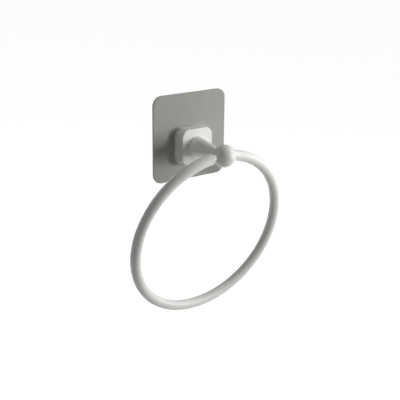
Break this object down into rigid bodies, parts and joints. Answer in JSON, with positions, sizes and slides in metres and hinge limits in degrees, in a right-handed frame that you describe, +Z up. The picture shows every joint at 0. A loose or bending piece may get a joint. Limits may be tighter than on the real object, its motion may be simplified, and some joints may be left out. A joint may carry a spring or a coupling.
{
  "type": "towel ring",
  "caption": "Self-adhesive wall towel ring: square backing plate, two-part block, tapered post ending in a ball, and a round open ring that swings on pins in the ball.",
  "frame": {"origin": "centre of the adhesive pad's back face, on the wall", "axes": "+Z up along the wall, +Y into the wall, the room and the viewer towards -Y, +X to the viewer's right"},
  "size_m": [0.1659, 0.0626, 0.2043],
  "materials": {
    "white_plastic": "satin white moulding",
    "grey_backing": "satin silver-grey film",
    "clear_adhesive": "clear tacky gel",
    "zinc_steel": "bright zinc"
  },
  "bodies": {
    "wall_bracket": {"adhesive_pad": "clear_adhesive", "backing_plate": "grey_backing", "mounting_stud": "zinc_steel", "base_tray": "white_plastic", "stud_washer": "zinc_steel", "thin_nut": "zinc_steel", "block_cover": "white_plastic", "post": "white_plastic", "screw_washer": "zinc_steel", "post_screw": "zinc_steel"},
    "swing_ring": {"ring": "white_plastic"}
  },
  "joints": [
    {"name": "ring_swing", "type": "hinge", "parent": "wall_bracket", "child": "swing_ring", "pos_m": [0, -0.0525, -0.0077], "axis": [-1, 0, 0], "range_deg": [-3.5, 210]}
  ]
}
